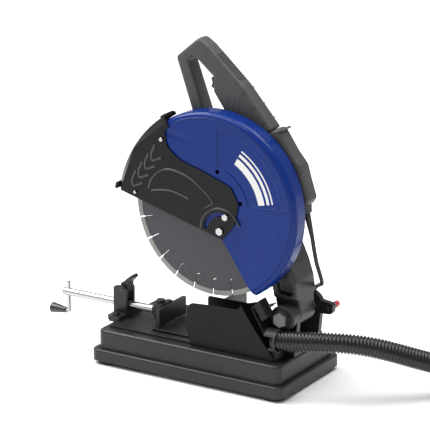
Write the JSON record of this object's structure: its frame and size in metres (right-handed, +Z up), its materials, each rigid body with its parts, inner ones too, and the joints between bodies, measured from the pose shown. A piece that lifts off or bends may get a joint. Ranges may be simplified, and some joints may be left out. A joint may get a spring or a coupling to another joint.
{
  "type": "abrasive chop saw",
  "caption": "Bench chop saw: a hinged arm with motor, guarded segmented blade and D handle over a base with a vise, fence, dust hood and extraction hose.",
  "frame": {"origin": "on the floor at the middle of the saw's own box, without its hose and cord", "axes": "+Z up, +Y from the operator's end to the arm's hinge, +X to the blade side"},
  "size_m": [0.486, 1.3881, 0.6734],
  "materials": {
    "base_paint": "satin",
    "arm_paint": "satin",
    "foot_rubber": "matte",
    "zinc_steel": "satin",
    "bright_steel": "polished",
    "bed_steel": "satin",
    "sheet_black": "matte",
    "port_plastic": "satin",
    "flap_rubber": "matte",
    "spring_steel": "satin",
    "hose_plastic": "satin",
    "cord_rubber": "matte",
    "bronze": "satin",
    "guard_blue": "gloss",
    "guard_black": "satin",
    "handle_plastic": "matte",
    "stator_steel": "satin",
    "carbon": "matte",
    "vent_trim": "satin",
    "blade_steel": "matte",
    "segment_metal": "matte",
    "gear_steel": "satin",
    "fan_plastic": "matte",
    "red_plastic": "gloss",
    "screw_steel": "polished",
    "knob_plastic": "gloss"
  },
  "bodies": {
    "base": {"base_casting": "base_paint", "rubber_feet": "foot_rubber", "base_fasteners": "zinc_steel", "bed_plate": "bed_steel", "fence": "base_paint", "hood_near_plate": "sheet_black", "hood_far_plate": "sheet_black", "hood_back": "sheet_black", "hose_port": "port_plastic", "hood_flap": "flap_rubber", "hood_wing_screw": "sheet_black", "hinge_bracket": "arm_paint", "hinge_bolt": "zinc_steel", "return_spring": "spring_steel", "vise_block": "base_paint", "hose_tube": "hose_plastic", "hose_coil": "hose_plastic", "hose_cuff": "port_plastic", "cord_lower": "cord_rubber", "cord_coil": "cord_rubber", "plug": "cord_rubber"},
    "arm": {"arm_casting": "arm_paint", "arm_bushes": "bronze", "gear_housing": "arm_paint", "arm_fasteners": "zinc_steel", "blade_guard": "guard_blue", "guard_back_plate": "guard_blue", "front_guard_bolts": "bright_steel", "motor_housing": "handle_plastic", "motor_end_cap": "handle_plastic", "stator": "stator_steel", "carbon_brushes": "carbon", "ball_bearings": "bright_steel", "handle_near_shell": "handle_plastic", "handle_far_shell": "handle_plastic", "lower_shell": "handle_plastic", "vent_rings": "vent_trim", "cord_gland": "handle_plastic", "strain_relief": "cord_rubber", "cord_upper": "cord_rubber"},
    "front_guard": {"front_guard": "guard_black"},
    "spindle": {"blade_core": "blade_steel", "blade_segments": "segment_metal", "blade_flanges": "zinc_steel", "arbor_bolt": "zinc_steel", "spindle_shaft": "bright_steel", "drive_gear": "gear_steel"},
    "armature": {"motor_armature": "stator_steel", "motor_pinion": "gear_steel", "cooling_fan": "fan_plastic"},
    "trigger": {"trigger": "handle_plastic"},
    "lock_button": {"lock_button": "handle_plastic"},
    "lock_pin": {"lock_pin": "zinc_steel", "lock_pin_knob": "red_plastic"},
    "vise_slide": {"jaw_carrier": "base_paint"},
    "vise_screw": {"vise_screw": "screw_steel", "crank_rod": "screw_steel"},
    "crank_knob": {"crank_knob": "knob_plastic"},
    "jaw": {"jaw_plate": "base_paint"},
    "half_nut": {"half_nut_lever": "base_paint"}
  },
  "joints": [
    {"name": "arm_hinge", "type": "hinge", "parent": "base", "child": "arm", "pos_m": [0, 0.2595, 0.15], "axis": [1, 0, 0], "range_deg": [0, 31], "stiffness_Nm_per_rad": 70, "springref_deg": -24.06},
    {"name": "front_guard_swing", "type": "hinge", "parent": "arm", "child": "front_guard", "pos_m": [0.084, 0.1365, 0.314], "axis": [1, 0, 0], "range_deg": [-95, 0]},
    {"name": "spindle_spin", "type": "hinge", "parent": "arm", "child": "spindle", "pos_m": [0.064, 0.1095, 0.35], "axis": [1, 0, 0], "continuous": true},
    {"name": "armature_spin", "type": "hinge", "parent": "arm", "child": "armature", "pos_m": [-0.04, 0.08477, 0.39461], "axis": [1, 0, 0], "continuous": true},
    {"name": "trigger_pull", "type": "hinge", "parent": "arm", "child": "trigger", "pos_m": [0.019, 0.0985, 0.6005], "axis": [1, 0, 0], "range_deg": [0, 8], "stiffness_Nm_per_rad": 0.8, "springref_deg": -11.46},
    {"name": "lock_button_press", "type": "slide", "parent": "arm", "child": "lock_button", "axis": [1, 0, 0], "range_m": [0, 0.003], "stiffness_N_per_m": 400, "springref_m": -0.003},
    {"name": "lock_pin_pull", "type": "slide", "parent": "base", "child": "lock_pin", "axis": [-1, 0, 0], "range_m": [0, 0.01], "stiffness_N_per_m": 500, "springref_m": -0.005},
    {"name": "vise_advance", "type": "slide", "parent": "base", "child": "vise_slide", "axis": [0, 1, 0], "range_m": [-0.045, 0.08]},
    {"name": "vise_screw_turn", "type": "hinge", "parent": "vise_slide", "child": "vise_screw", "pos_m": [0.016, -0.1775, 0.099], "axis": [0, 1, 0], "continuous": true},
    {"name": "crank_knob_turn", "type": "hinge", "parent": "vise_screw", "child": "crank_knob", "pos_m": [0.016, -0.2935, 0.058], "axis": [0, 1, 0], "continuous": true},
    {"name": "jaw_swivel", "type": "hinge", "parent": "vise_slide", "child": "jaw", "pos_m": [0.016, -0.0445, 0.097], "axis": [0, 0, 1], "range_deg": [-15, 15]},
    {"name": "half_nut_flip", "type": "hinge", "parent": "base", "child": "half_nut", "pos_m": [0.016, -0.1305, 0.131], "axis": [1, 0, 0], "range_deg": [0, 70]}
  ],
  "couplings": [
    {"joint": "armature_spin", "follows": "spindle_spin", "ratio": -5.1818}
  ]
}
